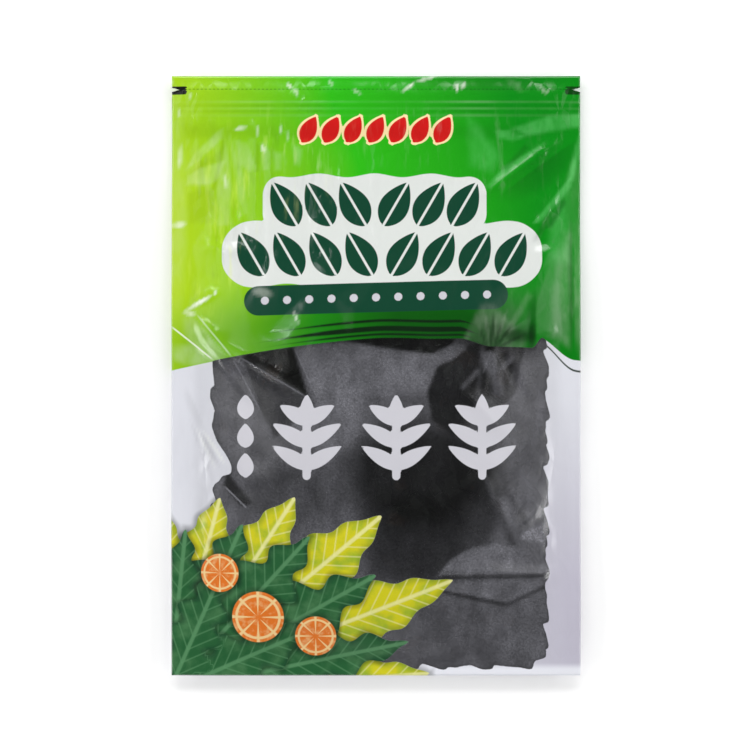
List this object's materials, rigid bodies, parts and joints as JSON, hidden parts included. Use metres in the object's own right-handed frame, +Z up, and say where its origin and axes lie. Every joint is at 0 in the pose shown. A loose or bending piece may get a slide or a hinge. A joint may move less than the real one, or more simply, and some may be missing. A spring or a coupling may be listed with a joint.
{
  "type": "resealable pouch of dried wakame",
  "caption": "Flat resealable film pouch with a printed front, a clear window, a press-to-close zip and tear notches, lying on its back and filled with cut dried wakame.",
  "frame": {"origin": "on the resting surface, under the middle of the pouch's outline", "axes": "+X across the pouch's width, +Y up the pouch towards its zip end, +Z up out of the printed front"},
  "size_m": [0.15, 0.22, 0.0192],
  "materials": {
    "printed_film": "glossy printed laminate film, green over white, with an unprinted clear window",
    "white_film": "glossy white laminate film with fine creases",
    "zip_plastic": "extruded milky plastic",
    "dried_seaweed": "dry, wrinkled, near-black green fronds with a dull sheen"
  },
  "bodies": {
    "root": {"front_film": "printed_film", "back_film": "white_film", "zip_rib_track": "zip_plastic", "zip_groove_track": "zip_plastic", "dried_wakame": "dried_seaweed"}
  },
  "joints": []
}
